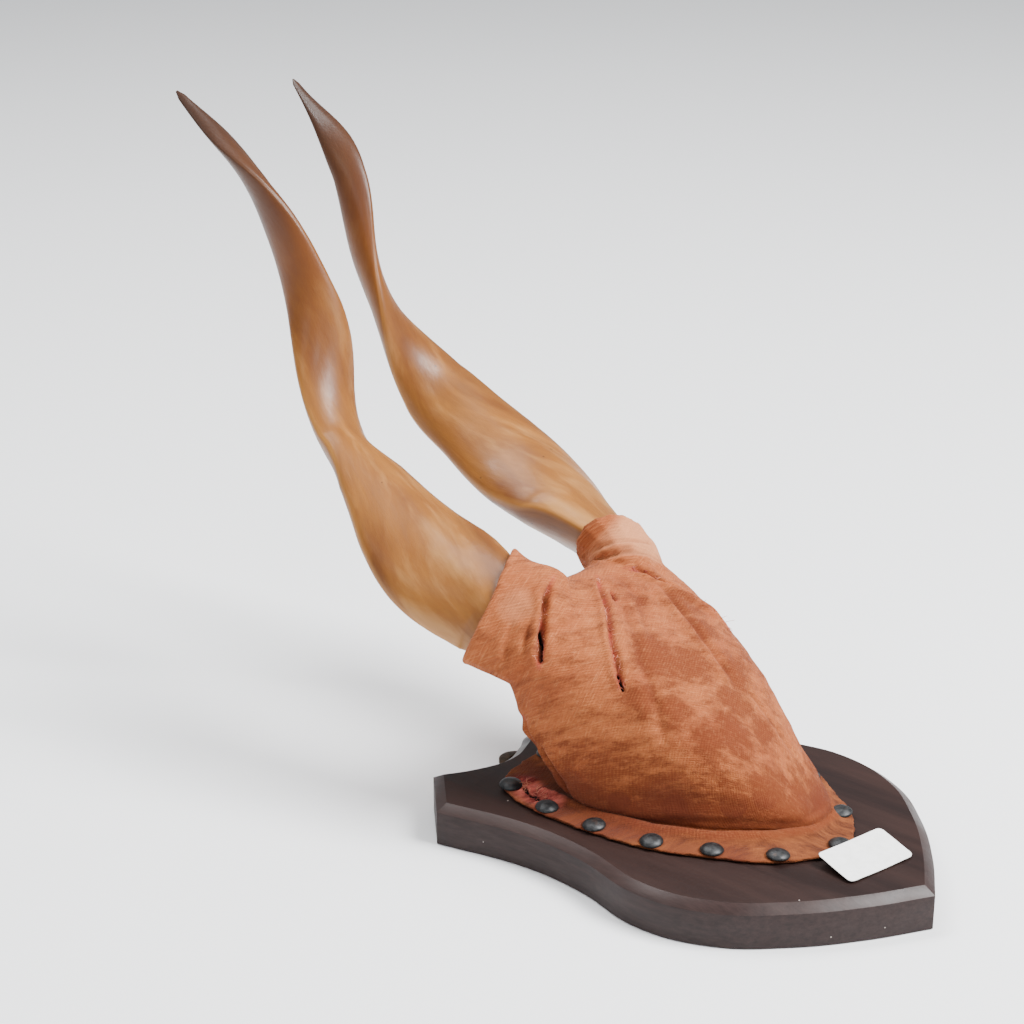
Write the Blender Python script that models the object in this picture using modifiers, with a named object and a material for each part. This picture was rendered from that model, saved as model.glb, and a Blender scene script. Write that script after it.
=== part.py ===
"""A pair of twisted goat horns on a velvet-covered form, mounted on a shield-shaped wooden board.

The board lies on its back. The origin is the middle of its back face, +Y points to the shield's
top and +Z away from the back. Sizes are in metres; MM turns millimetres into metres.
"""
import bpy
import bmesh
import math
from mathutils import Matrix, Vector

MM = 0.001
GAP = 0.3 * MM

# Board
BOARD_THICK = 23 * MM
CHAMFER_DEPTH = 4 * MM
CHAMFER_WIDTH = 5.5 * MM
# Right half of the shield's outline from the bottom tip up; sharp says that the outline has a corner.
SHIELD_HALF = [
    (0, -137.5, "sharp"), (31, -117.5, "smooth"), (62, -91.5, "smooth"), (85.5, -62, "smooth"),
    (95.5, -24, "smooth"), (87, 22, "smooth"), (86.5, 58, "smooth"), (98, 110, "sharp"),
    (70, 137.5, "sharp"), (50, 125, "smooth"), (30, 119, "smooth"), (13, 123.5, "smooth"),
    (0, 129, "smooth"),
]

# Velvet-covered form: sections across its length, from the low front end to the horns.
FORM_ROUNDNESS = 0.6
FORM_SECTIONS = [
    # y, middle x, half width, top, bottom
    (-61, 15, 5, 27, 20), (-58, 14.5, 11, 31, 10), (-51, 14, 18, 39, 0), (-41, 12, 26, 50, -10),
    (-30, 10, 32.5, 61, -15), (-15, 8, 40, 77, -15), (0, 7, 46.5, 91, -15), (15, 6, 52.5, 102, -10),
    (30, 5, 58, 110, 0), (45, 4, 63, 116, 12), (60, 3.5, 66, 121, 26), (73, 3, 67, 126, 43),
    (85, 3, 66, 130, 59), (95, 2.5, 62, 129, 76), (103, 2.5, 55, 125, 94),
]
FORM_SIDES = 36
CLOTH_THICK = 2 * MM
CLOTH_FOOT = BOARD_THICK + GAP
# Outline of the nailed flange, anticlockwise from its front end
FLANGE_OUTLINE = [
    (2, -85.5), (18.5, -77.5), (36, -65), (47, -48), (59.5, -30), (68, 2), (73, 33), (72.5, 64),
    (67, 90), (56, 101), (32, 105), (2, 106), (-28, 105), (-53, 101), (-64, 91), (-70.5, 62),
    (-69.5, 30), (-63.5, -5), (-50, -35), (-33, -63.5), (-14.5, -77.5),
]

# Horns, from the seat to the tip: centre of the section, its half width and the turn of its keel in
# degrees. The second station is at the collar's rim. The keel of the right horn turns the other way.
HORN_FLATNESS = 0.5
HORN_KEEL_SHARPNESS = 0.25
HORN_PROFILE_POINTS = 16
HORN_STEPS = 6
LEFT_HORN = [
    ((-54.3, 102, 120.7), 26.3, -62), ((-54, 109.5, 123.5), 27.2, -54), ((-49.5, 158.5, 140), 33.6, -15),
    ((-43, 204.5, 170), 25.7, 13), ((-39, 232, 188), 19.7, 22), ((-24, 265, 253.5), 15.9, -51),
    ((-29, 301, 317), 11.6, -112), ((-43.5, 346.5, 365), 1.8, -206),
]
RIGHT_HORN = [
    ((51.2, 102.5, 120.5), 26.3, -65), ((52.8, 117, 126), 28, -58), ((58.5, 155, 138), 36.4, -15),
    ((57, 210.5, 166), 26.2, 23), ((54, 247, 190), 21.3, 24), ((40, 279, 248), 13.2, -55),
    ((50, 309.5, 314), 9.5, -120), ((61.5, 361, 352.5), 1.9, -165),
]
SOCKET_SWELL = 1.03

# Cloth collars: stations of the left one, from inside the form to past its rim, and the rim's plane.
# The right one is its mirror twin.
COLLAR_STATIONS = [((-35, 66, 91), 22), ((-46.5, 90, 112), 29), ((-53.5, 111, 124), 32.5),
                   ((-56, 136, 134), 33)]
COLLAR_FLATNESS = 0.62
COLLAR_TURN = -60
RIM_POINT = (-55, 110.3, 126)
RIM_NORMAL = (-0.463, 0.801, 0.379)

# Nails, anticlockwise from the bottom one
NAIL_PLACES = [
    (2, -79.5), (31, -61), (53.5, -26), (62, 4), (67, 34), (66.5, 64), (60.5, 91.5), (22, 99), (-18, 99),
    (-58.5, 91.5), (-65, 61), (-64, 30), (-58, -3), (-45, -32), (-27.5, -61),
]
NAIL_HEAD_RADIUS = 6.25 * MM
NAIL_HEAD_HEIGHT = 3.2 * MM
NAIL_SHANK_RADIUS = 1 * MM
NAIL_LENGTH = 13 * MM
NAIL_SIDES = 12
HOLE_SIDES = 6

# Hanger plate and its screws
HANGER_RADIUS = 9.5 * MM
HANGER_TOP_Y = 137.5 * MM
HANGER_FOOT_Y = 92 * MM
HANGER_THICK = 2 * MM
HANGER_HOLE_RADIUS = 4 * MM
SCREW_Y = [100 * MM, 114 * MM]
SCREW_HEAD_RADIUS = 3.2 * MM
SCREW_SHANK_RADIUS = 1.5 * MM
SCREW_LENGTH = 14 * MM

# Paper label
LABEL_SIZE = (45 * MM, 25.5 * MM)
LABEL_THICK = 0.4 * MM
LABEL_CORNER = 3 * MM
LABEL_CENTRE = (0.6 * MM, -95.5 * MM, 26.5 * MM)
LABEL_TURN = math.radians(-13)
LABEL_TILT = math.radians(11)


def clear_scene():
    """Remove every object of the open scene."""
    for item in list(bpy.data.objects):
        bpy.data.objects.remove(item, do_unlink=True)


def make_collection(name):
    """Return a new collection linked to the scene."""
    group = bpy.data.collections.new(name)
    bpy.context.scene.collection.children.link(group)
    return group


def make_material(name, colour, roughness, metallic=0.0):
    """Return a Principled material of one colour."""
    material = bpy.data.materials.new(name)
    material.use_nodes = True
    shader = material.node_tree.nodes["Principled BSDF"]
    shader.inputs["Base Color"].default_value = (*colour, 1)
    shader.inputs["Roughness"].default_value = roughness
    shader.inputs["Metallic"].default_value = metallic
    material.diffuse_color = (*colour, 1)
    return material


def add_mesh_object(name, shape, material, group):
    """Turn a bmesh into an object with its faces pointing out."""
    bmesh.ops.recalc_face_normals(shape, faces=shape.faces)
    mesh = bpy.data.meshes.new(name)
    shape.to_mesh(mesh)
    shape.free()
    item = bpy.data.objects.new(name, mesh)
    item.data.materials.append(material)
    group.objects.link(item)
    return item


def shade_round(item, degrees=35):
    """Shade smooth with sharp edges above an angle."""
    item.data.shade_smooth()
    item.data.set_sharp_from_angle(angle=math.radians(degrees))


def mark_cutter(item):
    """Show a cutter as wire and keep it out of the model."""
    item.hide_render = True
    item.display_type = "WIRE"


def add_boolean(item, tool, operation):
    """Add one exact Boolean to an object."""
    modifier = item.modifiers.new(tool.name, "BOOLEAN")
    modifier.operation = operation
    modifier.solver = "EXACT"
    modifier.object = tool


def curve_to_mesh(curve, material, group):
    """Replace a curve object by its welded mesh."""
    bpy.context.view_layer.update()
    evaluated = curve.evaluated_get(bpy.context.evaluated_depsgraph_get())
    mesh = bpy.data.meshes.new_from_object(evaluated)
    shape = bmesh.new()
    shape.from_mesh(mesh)
    bpy.data.meshes.remove(mesh)
    bmesh.ops.remove_doubles(shape, verts=shape.verts, dist=0.00001)
    name = curve.name
    placed = curve.matrix_world.copy()
    bpy.data.objects.remove(curve, do_unlink=True)
    item = add_mesh_object(name, shape, material, group)
    item.matrix_world = placed
    return item


def add_bezier(name, points, cyclic, dimensions, group):
    """Add a curve of Bezier points: position, handle kind, and radius and tilt if given."""
    data = bpy.data.curves.new(name, "CURVE")
    data.dimensions = dimensions
    spline = data.splines.new("BEZIER")
    spline.bezier_points.add(len(points) - 1)
    spline.use_cyclic_u = cyclic
    for knot, (place, kind, radius, tilt) in zip(spline.bezier_points, points):
        knot.co = place
        knot.handle_left_type = kind
        knot.handle_right_type = kind
        knot.radius = radius
        knot.tilt = tilt
    spline.radius_interpolation = "CARDINAL"
    spline.tilt_interpolation = "CARDINAL"
    item = bpy.data.objects.new(name, data)
    group.objects.link(item)
    return item


def rounded_plate(name, outline, steps, low, high, material, group):
    """A plate between two heights, from outline points that are smooth or sharp."""
    points = []
    for x, y, kind in outline:
        handle = "VECTOR" if kind == "sharp" else "AUTO"
        points.append(((x * MM, y * MM, 0), handle, 1, 0))
    curve = add_bezier(name, points, True, "2D", group)
    curve.data.resolution_u = steps
    return fill_plate(curve, low, high, material, group)


def polygon_plate(name, outline, low, high, material, group):
    """A plate between two heights, from the points of its outline."""
    data = bpy.data.curves.new(name, "CURVE")
    data.dimensions = "2D"
    spline = data.splines.new("POLY")
    spline.points.add(len(outline) - 1)
    spline.use_cyclic_u = True
    for knot, (x, y) in zip(spline.points, outline):
        knot.co = (x, y, 0, 1)
    curve = bpy.data.objects.new(name, data)
    group.objects.link(curve)
    return fill_plate(curve, low, high, material, group)


def fill_plate(curve, low, high, material, group):
    """Fill a flat closed curve, give it its thickness and make it a mesh."""
    curve.data.fill_mode = "BOTH"
    curve.data.extrude = (high - low) / 2
    plate = curve_to_mesh(curve, material, group)
    plate.data.transform(Matrix.Translation((0, 0, (high + low) / 2)))
    return plate


def arc(centre_x, centre_y, radius, start, end, steps):
    """Points on an arc between two angles in degrees."""
    points = []
    for index in range(steps + 1):
        angle = math.radians(start + (end - start) * index / steps)
        points.append((centre_x + radius * math.cos(angle), centre_y + radius * math.sin(angle)))
    return points


def loft(name, rings, material, group):
    """Skin closed rings of equal length one after the other and close both ends."""
    shape = bmesh.new()
    loops = [[shape.verts.new(point) for point in ring] for ring in rings]
    count = len(loops[0])
    for near, far in zip(loops, loops[1:]):
        for index in range(count):
            after = (index + 1) % count
            shape.faces.new((near[index], near[after], far[after], far[index]))
    shape.faces.new(loops[0])
    shape.faces.new(loops[-1])
    return add_mesh_object(name, shape, material, group)


def make_board(material, group):
    """The shield-shaped board with its chamfered front edge."""
    left_half = [(-x, y, kind) for x, y, kind in reversed(SHIELD_HALF) if x > 0]
    board = rounded_plate("plaque", SHIELD_HALF + left_half, 6, 0, BOARD_THICK - CHAMFER_DEPTH,
                          material, group)
    shape = bmesh.new()
    shape.from_mesh(board.data)
    top = [face for face in shape.faces if face.normal.z > 0.9]
    bmesh.ops.inset_region(shape, faces=top, thickness=CHAMFER_WIDTH, depth=CHAMFER_DEPTH,
                           use_even_offset=True)
    shape.to_mesh(board.data)
    shape.free()
    return board


def signed_power(value, power):
    """Raise a value to a power and keep its sign."""
    return math.copysign(abs(value) ** power, value)


def form_ring(y, middle_x, half_width, top, bottom):
    """One section across the covered form, flat where it meets the board."""
    foot = CLOTH_FOOT + CLOTH_THICK / 2
    top = top * MM
    bottom = bottom * MM
    middle = max((top + bottom) / 2, foot)
    ring = []
    for index in range(FORM_SIDES):
        angle = 2 * math.pi * index / FORM_SIDES
        across = half_width * signed_power(math.cos(angle), FORM_ROUNDNESS)
        rise = signed_power(math.sin(angle), FORM_ROUNDNESS)
        reach = top - middle if rise > 0 else middle - bottom
        ring.append(((middle_x + across) * MM, y * MM, max(middle + reach * rise, foot)))
    return ring


def keeled_tube(name, stations, flatness, sharpness, group):
    """A curve through the stations whose flattened section has a keel on both sides."""
    profile_name = name + "_section"
    profile = bpy.data.curves.new(profile_name, "CURVE")
    profile.dimensions = "2D"
    spline = profile.splines.new("POLY")
    spline.points.add(HORN_PROFILE_POINTS - 1)
    spline.use_cyclic_u = True
    for index, knot in enumerate(spline.points):
        angle = 2 * math.pi * index / HORN_PROFILE_POINTS
        height = flatness * signed_power(math.sin(angle), 1 + sharpness)
        knot.co = (math.cos(angle) * MM, height * MM, 0, 1)
    section = bpy.data.objects.new(profile_name, profile)
    group.objects.link(section)
    mark_cutter(section)
    points = []
    for place, radius, tilt in stations:
        points.append((Vector(place) * MM, "AUTO", radius, math.radians(tilt)))
    curve = add_bezier(name, points, False, "3D", group)
    curve.data.resolution_u = HORN_STEPS
    curve.data.bevel_mode = "OBJECT"
    curve.data.bevel_object = section
    curve.data.use_fill_caps = True
    return curve, section


def tube_mesh(name, stations, flatness, sharpness, material, group):
    """A keeled tube as a closed mesh."""
    curve, section = keeled_tube(name, stations, flatness, sharpness, group)
    tube = curve_to_mesh(curve, material, group)
    bpy.data.objects.remove(section, do_unlink=True)
    return tube


def horn_stations(horn, side, swell=1):
    """The stations of a horn as places in millimetres, half widths and turns."""
    return [(Vector(place), radius * swell, side * turn) for place, radius, turn in horn]


def make_horn(name, horn, side, material, group):
    """One horn, from its seat in the collar to its tip."""
    stations = horn_stations(horn, side)
    solid = tube_mesh(name, stations, HORN_FLATNESS, HORN_KEEL_SHARPNESS, material, group)
    shade_round(solid, 50)
    return solid


def make_socket(name, horn, side, material, group):
    """The cutter of a horn's socket: the horn with its clearance all round."""
    stations = horn_stations(horn, side, SOCKET_SWELL)
    seat, radius, turn = stations[0]
    back = (stations[1][0] - seat).normalized()
    stations[0] = (seat - back * GAP / MM, radius, turn)
    socket = tube_mesh(name, stations, HORN_FLATNESS, HORN_KEEL_SHARPNESS, material, group)
    mark_cutter(socket)
    return socket


def make_collar(name, side, material, group):
    """The cloth collar round a horn's foot, a bent tube cut off at its rim's plane."""
    stations = []
    for (x, y, z), radius in COLLAR_STATIONS:
        stations.append(((side * x, y, z), radius, side * COLLAR_TURN))
    collar = tube_mesh(name, stations, COLLAR_FLATNESS, 0, material, group)
    shape = bmesh.new()
    shape.from_mesh(collar.data)
    point = Vector((side * RIM_POINT[0], RIM_POINT[1], RIM_POINT[2])) * MM
    normal = Vector((side * RIM_NORMAL[0], RIM_NORMAL[1], RIM_NORMAL[2]))
    every = shape.verts[:] + shape.edges[:] + shape.faces[:]
    bmesh.ops.bisect_plane(shape, geom=every, plane_co=point, plane_no=normal, clear_outer=True)
    open_edges = [edge for edge in shape.edges if edge.is_boundary]
    bmesh.ops.holes_fill(shape, edges=open_edges)
    bmesh.ops.recalc_face_normals(shape, faces=shape.faces)
    shape.to_mesh(collar.data)
    shape.free()
    mark_cutter(collar)
    return collar


def make_holes(name, places, radius, low, high, sides, material, group):
    """One cutter with a prism for each hole."""
    shape = bmesh.new()
    for x, y in places:
        placed = Matrix.Translation((x, y, (low + high) / 2))
        bmesh.ops.create_cone(shape, cap_ends=True, segments=sides, radius1=radius, radius2=radius,
                              depth=high - low, matrix=placed)
    holes = add_mesh_object(name, shape, material, group)
    mark_cutter(holes)
    return holes


def turned_piece(name, profile, sides, place, material, group):
    """A turned piece about +Z; the profile runs from the axis at the top to the axis at the bottom."""
    mesh = bpy.data.meshes.new(name)
    edges = [(index, index + 1) for index in range(len(profile) - 1)]
    mesh.from_pydata([(radius, 0, height) for radius, height in profile], edges, [])
    mesh.materials.append(material)
    piece = bpy.data.objects.new(name, mesh)
    piece.location = place
    group.objects.link(piece)
    turn = piece.modifiers.new("turn", "SCREW")
    turn.angle = 2 * math.pi
    turn.steps = sides
    turn.render_steps = sides
    turn.use_merge_vertices = True
    turn.merge_threshold = 0.01 * MM
    return piece


def make_nails(material, group):
    """The domed upholstery nails, each with its shank."""
    head = NAIL_HEAD_RADIUS
    rise = NAIL_HEAD_HEIGHT
    profile = [(0, rise), (0.45 * head, 0.92 * rise), (0.82 * head, 0.62 * rise), (head, 0.16 * rise),
               (head, 0), (NAIL_SHANK_RADIUS, 0), (NAIL_SHANK_RADIUS, -0.8 * NAIL_LENGTH),
               (0, -NAIL_LENGTH)]
    seat = CLOTH_FOOT + CLOTH_THICK + GAP
    for index, (x, y) in enumerate(NAIL_PLACES):
        name = "nail_%02d" % (index + 1)
        turned_piece(name, profile, NAIL_SIDES, (x * MM, y * MM, seat), material, group)


def hanger_outline(grow):
    """Outline of the hanger tab, or of its recess where it is grown."""
    radius = HANGER_RADIUS + grow
    top = arc(0, HANGER_TOP_Y, radius, 0, 180, 16)
    foot = HANGER_FOOT_Y - grow
    return top + [(-radius, foot), (radius, foot)]


def make_hanger(metal, wood, parts, tools):
    """The tab in its recess in the board's back, with its hole and two screws."""
    plate = polygon_plate("hanger_plate", hanger_outline(0), 0, HANGER_THICK, metal, parts)
    low = -5 * MM
    hole = make_holes("hanger_hole", [(0, HANGER_TOP_Y)], HANGER_HOLE_RADIUS, low, -low, 20, metal, tools)
    add_boolean(plate, hole, "DIFFERENCE")
    bores = make_holes("hanger_bores", [(0, y) for y in SCREW_Y], SCREW_HEAD_RADIUS + GAP, low, -low, 12,
                       metal, tools)
    add_boolean(plate, bores, "DIFFERENCE")
    recess = polygon_plate("hanger_recess", hanger_outline(GAP), low, HANGER_THICK + GAP, wood, tools)
    mark_cutter(recess)
    shank = SCREW_SHANK_RADIUS
    head = SCREW_HEAD_RADIUS
    thick = HANGER_THICK
    profile = [(0, SCREW_LENGTH), (shank, SCREW_LENGTH - 2 * shank), (shank, thick), (head, thick),
               (head, 0), (0, 0)]
    for index, y in enumerate(SCREW_Y):
        name = "hanger_screw_%d" % (index + 1)
        turned_piece(name, profile, 12, (0, y, 0), metal, parts)
    pilots = make_holes("screw_pilots", [(0, y) for y in SCREW_Y], shank + GAP, low,
                        SCREW_LENGTH + GAP, HOLE_SIDES * 2, wood, tools)
    return recess, pilots


def make_label(material, group):
    """The paper label, tilted from the board's face up to the bottom nail."""
    half_x = LABEL_SIZE[0] / 2 - LABEL_CORNER
    half_y = LABEL_SIZE[1] / 2 - LABEL_CORNER
    outline = []
    for centre_x, centre_y, start in ((half_x, half_y, 0), (-half_x, half_y, 90),
                                      (-half_x, -half_y, 180), (half_x, -half_y, 270)):
        outline += arc(centre_x, centre_y, LABEL_CORNER, start, start + 90, 5)
    label = polygon_plate("label", outline, -LABEL_THICK / 2, LABEL_THICK / 2, material, group)
    turn = Matrix.Rotation(LABEL_TURN, 4, "Z") @ Matrix.Rotation(LABEL_TILT, 4, "X")
    label.data.transform(Matrix.Translation(LABEL_CENTRE) @ turn)
    return label


def make_cover(nail_holes, material, parts, tools):
    """The velvet-covered form: body, nailed flange and two collars, with a socket for each horn."""
    cover = loft("velvet_cover", [form_ring(*row) for row in FORM_SECTIONS], material, parts)
    for name, side in (("left", 1), ("right", -1)):
        add_boolean(cover, make_collar(name + "_collar", side, material, tools), "UNION")
    for name, horn, side in (("left", LEFT_HORN, 1), ("right", RIGHT_HORN, -1)):
        add_boolean(cover, make_socket(name + "_socket", horn, side, material, tools), "DIFFERENCE")
    outline = [(x, y, "smooth") for x, y in FLANGE_OUTLINE]
    flange = rounded_plate("flange", outline, 3, CLOTH_FOOT, CLOTH_FOOT + CLOTH_THICK, material, tools)
    mark_cutter(flange)
    add_boolean(flange, nail_holes, "DIFFERENCE")
    add_boolean(cover, flange, "UNION")
    shade_round(cover)
    return cover


def build():
    """Build every piece of the mounted horns."""
    clear_scene()
    parts = make_collection("mounted_goat_horns")
    tools = make_collection("cutters")
    wood = make_material("dark_wood", (0.055, 0.035, 0.032), 0.45)
    velvet = make_material("velvet", (0.58, 0.23, 0.11), 0.9)
    horn = make_material("horn", (0.48, 0.22, 0.065), 0.25)
    iron = make_material("dark_iron", (0.06, 0.065, 0.065), 0.5, 0.8)
    brass = make_material("old_brass", (0.16, 0.12, 0.08), 0.5, 0.9)
    paper = make_material("paper", (0.85, 0.85, 0.85), 0.6)
    depth = CLOTH_FOOT + CLOTH_THICK - NAIL_LENGTH
    places = [(x * MM, y * MM) for x, y in NAIL_PLACES]
    nail_holes = make_holes("nail_holes", places, NAIL_SHANK_RADIUS * 1.15 + GAP, depth,
                            BOARD_THICK + 10 * MM, HOLE_SIDES, iron, tools)
    board = make_board(wood, parts)
    add_boolean(board, nail_holes, "DIFFERENCE")
    make_cover(nail_holes, velvet, parts, tools)
    make_horn("left_horn", LEFT_HORN, 1, horn, parts)
    make_horn("right_horn", RIGHT_HORN, -1, horn, parts)
    make_nails(iron, parts)
    for tool in make_hanger(brass, wood, parts, tools):
        add_boolean(board, tool, "DIFFERENCE")
    make_label(paper, parts)


if __name__ == "__main__":
    build()
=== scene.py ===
import math
import random

import bmesh
import bpy
import numpy as np
from mathutils import Euler, Matrix, Vector
from mathutils.bvhtree import BVHTree


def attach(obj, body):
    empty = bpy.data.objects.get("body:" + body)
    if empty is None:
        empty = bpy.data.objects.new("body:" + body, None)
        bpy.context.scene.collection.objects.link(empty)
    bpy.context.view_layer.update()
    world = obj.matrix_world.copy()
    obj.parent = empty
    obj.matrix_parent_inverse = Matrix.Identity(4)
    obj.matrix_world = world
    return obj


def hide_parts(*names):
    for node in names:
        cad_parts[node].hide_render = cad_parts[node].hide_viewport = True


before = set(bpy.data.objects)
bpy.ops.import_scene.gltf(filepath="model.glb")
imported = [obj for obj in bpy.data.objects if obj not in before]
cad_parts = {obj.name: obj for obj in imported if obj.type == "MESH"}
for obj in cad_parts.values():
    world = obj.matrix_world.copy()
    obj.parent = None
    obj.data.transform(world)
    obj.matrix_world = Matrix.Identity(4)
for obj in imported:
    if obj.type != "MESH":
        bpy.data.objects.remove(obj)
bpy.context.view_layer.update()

# Mounted goat horns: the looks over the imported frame. Places are in millimetres, in the part's frame.
MM = 0.001
dice = random.Random(7)

# Shield board
BOARD_THICK = 23
CHAMFER_DEPTH = 4
CHAMFER_WIDTH = 5.5
BOARD_HALF = [
    (0, -137.5, "sharp"), (31, -117.5, "smooth"), (62, -91.5, "smooth"), (85.5, -62, "smooth"),
    (95.5, -24, "smooth"), (87, 22, "smooth"), (86.5, 58, "smooth"), (98, 110, "sharp"),
    (70, 137.5, "sharp"), (50, 125, "smooth"), (30, 119, "smooth"), (13, 123.5, "smooth"),
    (0, 129, "smooth"),
]

# Horns: centre, half width and turn of the keel at each station from the seat to the tip.
# The stations go back to a fit of the horns' outline to the photo.
HORN_FLATNESS = 0.5
HORN_SECTION_POWER = 1.25
LEFT_HORN = [
    ((-54.3, 102, 120.7), 26.3, -62), ((-54, 109.5, 123.5), 27.2, -54), ((-49.5, 158.5, 140), 33.6, -15),
    ((-43, 204.5, 170), 25.7, 13), ((-39, 232, 188), 19.7, 22), ((-24, 265, 253.5), 15.9, -51),
    ((-29, 301, 317), 11.6, -112), ((-43.5, 346.5, 365), 1.8, -206),
]
RIGHT_HORN = [
    ((51.2, 102.5, 120.5), 26.3, -42), ((52.8, 117, 126), 28, -36), ((58.5, 155, 138), 36.4, -15),
    ((57, 210.5, 166), 26.2, 23), ((54, 247, 190), 21.3, 24), ((40, 279, 248), 13.2, -55),
    ((50, 309.5, 314), 9.5, -120), ((61.5, 361, 352.5), 1.9, -165),
]

# Upholstery nails
NAIL_PLACES = [
    (2, -79.5), (31, -61), (53.5, -26), (62, 4), (67, 34), (66.5, 64), (60.5, 91.5), (22, 99), (-18, 99),
    (-58.5, 91.5), (-65, 61), (-64, 30), (-58, -3), (-45, -32), (-27.5, -61),
]
NAIL_RADIUS = 6.25
NAIL_RISE = 3.2
NAIL_SEAT = 25.6

# Folds of the velvet: path, width, depth of the crease, height of the lip beside it
FOLDS = [
    ([(-35, 86, 138), (-44, 80, 134), (-50, 77, 125), (-55, 74, 116), (-62, 70, 104)], 2.9, 4.4, 3.0),
    ([(-50, 81, 132), (-58, 80, 121), (-63, 80, 108)], 2.6, 1.2, 1.2),
    ([(-58, 90, 126), (-64, 89, 114), (-66, 90, 102)], 3.0, 0.9, 0.9),
    ([(4, 84, 130), (-13, 63, 122), (-29, 48, 115), (-38, 37, 107), (-43, 29, 97)], 2.2, 2.8, 2.2),
    ([(16, 82, 130), (12, 60, 122), (-4, 44, 115), (-14, 30, 108)], 5.0, 0.8, 1.0),
    ([(1, 64, 123), (-27, 30, 108), (-37, 9, 84), (-39, 2, 64)], 4.5, 1.1, 1.4),
    ([(26, 80, 128), (32, 72, 126), (38, 61, 120), (44, 49, 114), (48, 38, 107), (50, 26, 99)],
     2.4, 3.0, 2.4),
    ([(34, 67, 122), (23, 35, 112), (16, 13, 100), (14, -5, 86)], 3.2, 1.6, 1.7),
    ([(19, -5, 86), (21, -14, 78), (22, -25, 66), (22, -36, 50)], 2.4, 0.8, 0.6),
    ([(28, 107, 129), (27, 96, 137), (33, 87, 141), (45, 82, 138), (58, 84, 130)], 1.7, 1.0, 1.1),
    ([(32, 110, 119), (25, 94, 131), (31, 82, 136), (46, 76, 131), (60, 74, 120)], 2.0, 1.2, 1.3),
    ([(-61, 80, 72), (-60, 74, 58), (-58, 68, 42), (-54, 62, 28)], 2.6, 3.4, 3.0),
    ([(-62, 70, 60), (-57, 60, 46), (-54, 54, 34), (-51, 52, 27)], 2.4, 2.7, 2.4),
    ([(-60, 88, 80), (-52, 84, 66), (-44, 80, 50), (-38, 74, 32)], 3.0, 1.6, 1.6),
    ([(-45, 8, 30), (-34, -14, 31), (-18, -36, 32), (2, -53, 30), (26, -55, 29)], 3.2, 0.9, 0.6),
    ([(64, 80, 72), (62, 70, 52), (58, 62, 30)], 3.0, 1.8, 1.6),
    ([(60, 40, 78), (56, 20, 60), (50, -2, 38)], 4.0, 0.9, 0.9),
    ([(0, 103, 118), (-2, 100, 96), (0, 92, 70)], 3.5, 1.2, 1.2),
    ([(-24, 104, 116), (-22, 100, 92), (-18, 88, 66)], 3.5, 1.2, 1.2),
    ([(26, 104, 116), (24, 100, 92), (20, 88, 66)], 3.5, 1.2, 1.2),
]
# Slits cut into the cloth, painted near-black inside as shade: path, width, depth
SLITS = [
    ([(-53.5, 75, 119), (-57, 72.5, 113), (-60, 70.5, 107)], 1.1, 5.5),
    ([(-41, 33.5, 103.5), (-42, 31, 100.5), (-43, 28.5, 97)], 0.9, 4.5),
    ([(0.5, 70.5, 125.2), (-2.5, 66, 123.2)], 0.9, 4.0),
    ([(-56, 84, 25.5), (-59, 76, 25.5), (-61, 68, 25.5)], 1.4, 3.0),
]
# Rubbed pile left in rust-brown patches: place and reach
PILE_PATCHES = [
    ((-17, 28, 108), 13), ((-2, 16, 101), 12), ((-6, -17, 74), 12), ((6, -8, 83), 10), ((-22, -12, 72), 9),
    ((-8, -38, 44), 15), ((-24, -30, 42), 14), ((-40, -4, 38), 13), ((-50, 24, 36), 12), ((12, -22, 70), 8),
    ((24, 30, 106), 9), ((32, 46, 116), 9), ((-40, 20, 93), 9), ((20, 0, 92), 9), ((34, 10, 84), 9),
    ((-62, 88, 112), 7), ((-58, 80, 119), 5), ((12, -44, 38), 10),
    ((-30, 6, 88), 8), ((40, 20, 90), 10), ((50, 50, 95), 10), ((10, 60, 121), 6),
]
FOOT_LINE = [
    (-55, 70, 25.3), (-54, 61, 25.3), (-53, 35, 25.3), (-48, 5, 25.3), (-35, -24, 25.3), (-13, -49, 25.3),
    (4, -60, 25.3), (24, -60, 25.3), (40, -44, 25.3), (52, -18, 25.3), (59, 12, 25.3), (61, 40, 25.3),
    (59, 66, 25.3),
]
CLOTH_STEP = 1.15

# Rim of the right collar: middle and outward direction. The left one is its mirror twin.
RIM_MIDDLE = np.array([55, 110.3, 126])
RIM_WAY = np.array([0.463, 0.801, 0.379])
FAR_COLLAR_DROP = 4.5


# Modelling helpers


def bare():
    """Leave everything deselected, in object mode."""
    if bpy.context.object and bpy.context.object.mode != "OBJECT":
        bpy.ops.object.mode_set(mode="OBJECT")
    bpy.ops.object.select_all(action="DESELECT")


def take(piece):
    """Select one piece alone and make it the active one."""
    bare()
    piece.select_set(True)
    bpy.context.view_layer.objects.active = piece


def open_edit(piece, kind="FACE"):
    """Open a piece in edit mode with nothing of it selected."""
    take(piece)
    bpy.ops.object.mode_set(mode="EDIT")
    bpy.ops.mesh.select_mode(type=kind)
    bpy.ops.mesh.select_all(action="DESELECT")


def pick(piece, test, kind="faces"):
    """Select in edit mode the faces, edges or vertices that pass a test."""
    shape = bmesh.from_edit_mesh(piece.data)
    for part in getattr(shape, kind):
        if test(part):
            part.select_set(True)
    bmesh.update_edit_mesh(piece.data)


def close_edit():
    bpy.ops.object.mode_set(mode="OBJECT")


def apply_modifiers(piece):
    """Apply every modifier of a piece in order."""
    take(piece)
    for modifier in list(piece.modifiers):
        bpy.ops.object.modifier_apply(modifier=modifier.name)


def settle(piece):
    """Put a piece's place, turn and size into its mesh."""
    take(piece)
    bpy.ops.object.transform_apply(location=True, rotation=True, scale=True)


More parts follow.
